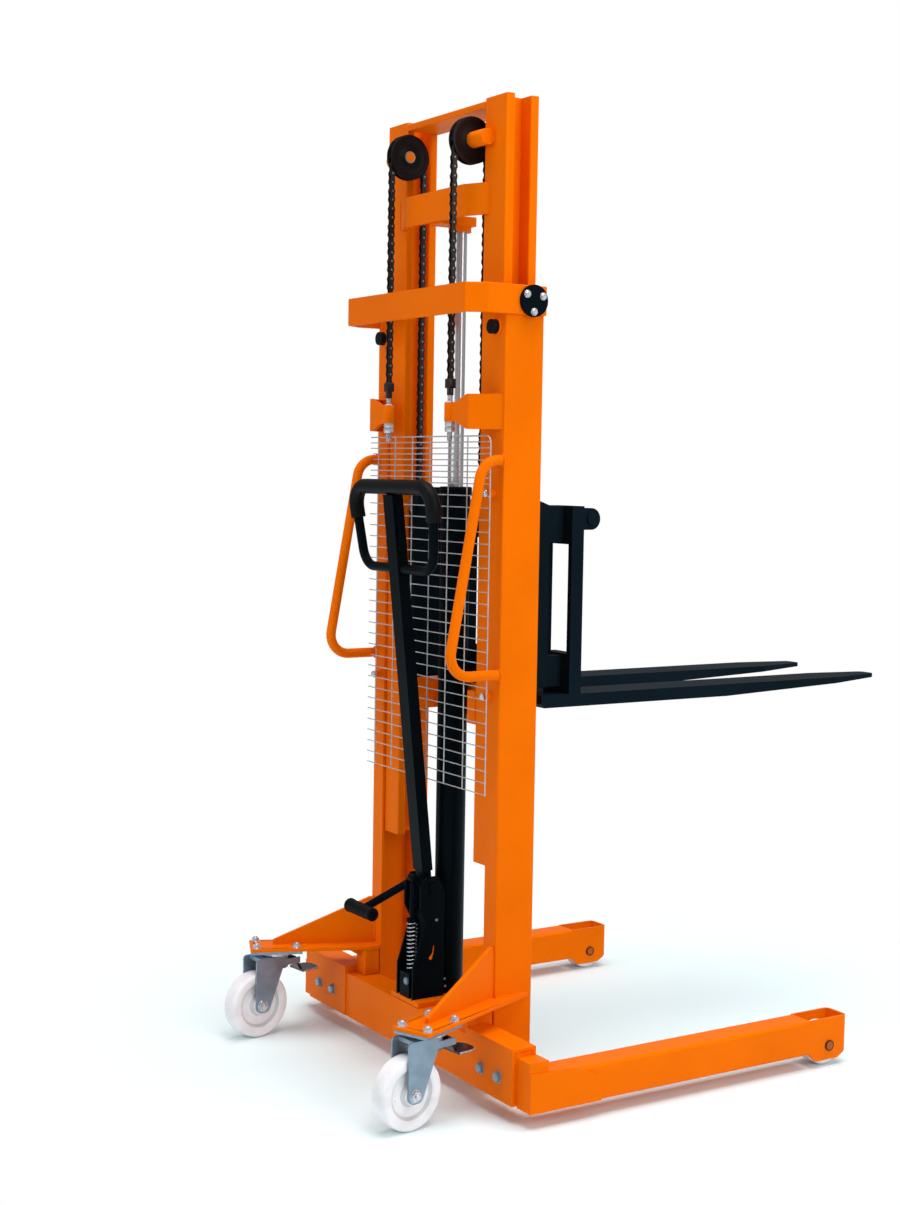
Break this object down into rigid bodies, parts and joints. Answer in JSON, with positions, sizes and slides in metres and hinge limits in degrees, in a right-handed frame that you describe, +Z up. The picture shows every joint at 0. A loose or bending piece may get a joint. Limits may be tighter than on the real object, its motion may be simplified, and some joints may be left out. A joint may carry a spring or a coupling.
{
  "type": "hand pallet stacker",
  "caption": "Hand pallet stacker: forks on a chain-lifted telescopic mast, pumped up by a tiller or foot pedal, on straddle legs with swivel casters behind.",
  "frame": {"origin": "on the floor, under the middle of the machine's bounding box", "axes": "+X to the operator's right, +Y forward along the forks, +Z up"},
  "size_m": [0.977, 1.5314, 2.095],
  "materials": {
    "orange_paint": "gloss",
    "black_paint": "semi-gloss",
    "white_nylon": "satin",
    "zinc_steel": "zinc plated",
    "bright_steel": "bright",
    "rod_chrome": "polished",
    "black_rubber": "satin",
    "chain_steel": "oiled",
    "wire_steel": "galvanised",
    "black_iron": "oiled"
  },
  "bodies": {
    "chassis": {"mast_column_right": "orange_paint", "mast_column_left": "orange_paint", "mast_top_strap": "orange_paint", "roller_caps": "black_paint", "mast_screws": "bright_steel", "rubber_buffers": "black_rubber", "chain_anchor_right": "orange_paint", "chain_anchor_left": "orange_paint", "chain_anchor_bolts": "zinc_steel", "mesh_guard": "wire_steel", "push_handles": "orange_paint", "base_crossbeam": "orange_paint", "leg_right": "orange_paint", "leg_left": "orange_paint", "front_axles": "bright_steel", "caster_bracket_right": "orange_paint", "caster_bracket_left": "orange_paint", "caster_plates": "zinc_steel", "base_bolts": "bright_steel", "cylinder_barrel": "black_paint", "cylinder_gland": "black_paint", "pump_bracket": "black_paint", "pump_body": "black_paint", "plunger_spring": "bright_steel", "pivot_pin": "bright_steel", "chain_rear_runs": "chain_steel"},
    "mast_guide_rollers": {"mast_rollers": "bright_steel"},
    "inner_mast": {"inner_channel_right": "orange_paint", "inner_channel_left": "orange_paint", "inner_top_bar": "orange_paint", "inner_mid_bar": "orange_paint", "inner_low_bar": "orange_paint", "piston_rod": "rod_chrome", "pulley_shafts": "orange_paint", "chain_wraps": "chain_steel", "chain_front_runs": "chain_steel"},
    "pulleys": {"chain_pulleys": "black_iron"},
    "mast_foot_rollers": {"foot_rollers": "bright_steel"},
    "carriage": {"carriage_sides": "black_paint", "carriage_bars": "black_paint", "fork_bar": "black_paint"},
    "upper_carriage_rollers": {"carriage_high_rollers": "bright_steel"},
    "lower_carriage_rollers": {"carriage_low_rollers": "bright_steel"},
    "right_fork": {"fork_right": "black_paint"},
    "left_fork": {"fork_left": "black_paint"},
    "right_caster": {"caster_fork_right": "zinc_steel"},
    "left_caster": {"caster_fork_left": "zinc_steel"},
    "right_caster_wheel": {"caster_wheel_right": "white_nylon"},
    "left_caster_wheel": {"caster_wheel_left": "white_nylon"},
    "right_caster_brake": {"caster_brake_right": "zinc_steel"},
    "left_caster_brake": {"caster_brake_left": "zinc_steel"},
    "right_front_wheel": {"front_wheel_right": "white_nylon"},
    "left_front_wheel": {"front_wheel_left": "white_nylon"},
    "tiller": {"tiller_shaft": "black_paint", "tiller_loop": "black_paint", "tiller_grip": "black_rubber"},
    "tiller_release": {"release_lever": "black_paint"},
    "plunger": {"pump_plunger": "bright_steel"},
    "foot_pedal": {"foot_pedal_arm": "black_paint", "foot_pedal_grip": "black_rubber"}
  },
  "joints": [
    {"name": "mast_lift", "type": "slide", "parent": "chassis", "child": "inner_mast", "axis": [0, 0, 1], "range_m": [-0.3725, 0.6275], "deforming": ["chain_rear_runs"]},
    {"name": "carriage_lift", "type": "slide", "parent": "inner_mast", "child": "carriage", "axis": [0, 0, 1], "range_m": [-0.3725, 0.6275], "deforming": ["chain_front_runs"]},
    {"name": "pulley_spin", "type": "hinge", "parent": "inner_mast", "child": "pulleys", "pos_m": [0, -0.43227, 2.011], "axis": [1, 0, 0], "range_deg": [-560, 920]},
    {"name": "mast_roller_spin", "type": "hinge", "parent": "chassis", "child": "mast_guide_rollers", "pos_m": [0, -0.37677, 1.671], "axis": [1, 0, 0], "range_deg": [-1900, 1150]},
    {"name": "foot_roller_spin", "type": "hinge", "parent": "inner_mast", "child": "mast_foot_rollers", "pos_m": [0, -0.37677, 0.5235], "axis": [1, 0, 0], "range_deg": [-560, 920]},
    {"name": "upper_roller_spin", "type": "hinge", "parent": "carriage", "child": "upper_carriage_rollers", "pos_m": [0, -0.37677, 1.235], "axis": [1, 0, 0], "range_deg": [-1900, 1150]},
    {"name": "lower_roller_spin", "type": "hinge", "parent": "carriage", "child": "lower_carriage_rollers", "pos_m": [0, -0.37677, 0.905], "axis": [1, 0, 0], "range_deg": [-1150, 1900]},
    {"name": "right_fork_slide", "type": "slide", "parent": "carriage", "child": "right_fork", "axis": [1, 0, 0], "range_m": [-0.035, 0]},
    {"name": "left_fork_slide", "type": "slide", "parent": "carriage", "child": "left_fork", "axis": [1, 0, 0], "range_m": [0, 0.035]},
    {"name": "right_caster_swivel", "type": "hinge", "parent": "chassis", "child": "right_caster", "pos_m": [0.345, -0.63527, 0.1675], "axis": [0, 0, 1], "continuous": true},
    {"name": "right_caster_roll", "type": "hinge", "parent": "right_caster", "child": "right_caster_wheel", "pos_m": [0.35258, -0.68924, 0.075], "axis": [0.9903, 0.1392, 0], "continuous": true},
    {"name": "right_brake_press", "type": "hinge", "parent": "right_caster", "child": "right_caster_brake", "pos_m": [0.33902, -0.59269, 0.1675], "axis": [0.9903, 0.1392, 0], "range_deg": [0, 12]},
    {"name": "right_front_roll", "type": "hinge", "parent": "chassis", "child": "right_front_wheel", "pos_m": [0.4515, 0.33273, 0.047], "axis": [1, 0, 0], "continuous": true},
    {"name": "left_caster_swivel", "type": "hinge", "parent": "chassis", "child": "left_caster", "pos_m": [-0.345, -0.63527, 0.1675], "axis": [0, 0, 1], "continuous": true},
    {"name": "left_caster_roll", "type": "hinge", "parent": "left_caster", "child": "left_caster_wheel", "pos_m": [-0.33742, -0.68924, 0.075], "axis": [0.9903, 0.1392, 0], "continuous": true},
    {"name": "left_brake_press", "type": "hinge", "parent": "left_caster", "child": "left_caster_brake", "pos_m": [-0.35098, -0.59269, 0.1675], "axis": [0.9903, 0.1392, 0], "range_deg": [0, 12]},
    {"name": "left_front_roll", "type": "hinge", "parent": "chassis", "child": "left_front_wheel", "pos_m": [-0.4515, 0.33273, 0.047], "axis": [1, 0, 0], "continuous": true},
    {"name": "tiller_tilt", "type": "hinge", "parent": "chassis", "child": "tiller", "pos_m": [0, -0.44127, 0.4], "axis": [1, 0, 0], "range_deg": [0, 60], "stiffness_Nm_per_rad": 40, "springref_deg": -22.92},
    {"name": "release_squeeze", "type": "hinge", "parent": "tiller", "child": "tiller_release", "pos_m": [0, -0.5227, 1.14959], "axis": [1, 0, 0], "range_deg": [0, 14], "stiffness_Nm_per_rad": 0.6, "springref_deg": -22.92},
    {"name": "plunger_stroke", "type": "slide", "parent": "chassis", "child": "plunger", "axis": [0, 0, 1], "range_m": [-0.0345, 0.0005], "deforming": ["plunger_spring"]},
    {"name": "pedal_press", "type": "hinge", "parent": "chassis", "child": "foot_pedal", "pos_m": [0, -0.44127, 0.4], "axis": [1, 0, 0], "range_deg": [0, 25], "stiffness_Nm_per_rad": 6, "springref_deg": -22.92}
  ],
  "couplings": [
    {"joint": "carriage_lift", "follows": "mast_lift", "ratio": 1},
    {"joint": "pulley_spin", "follows": "mast_lift", "rad_per_m": 24.39},
    {"joint": "mast_roller_spin", "follows": "mast_lift", "rad_per_m": -51.282},
    {"joint": "foot_roller_spin", "follows": "mast_lift", "rad_per_m": 24.39},
    {"joint": "upper_roller_spin", "follows": "mast_lift", "rad_per_m": -51.282},
    {"joint": "lower_roller_spin", "follows": "mast_lift", "rad_per_m": 51.282},
    {"joint": "plunger_stroke", "follows": "tiller_tilt", "m_per_rad": -0.0306}
  ]
}
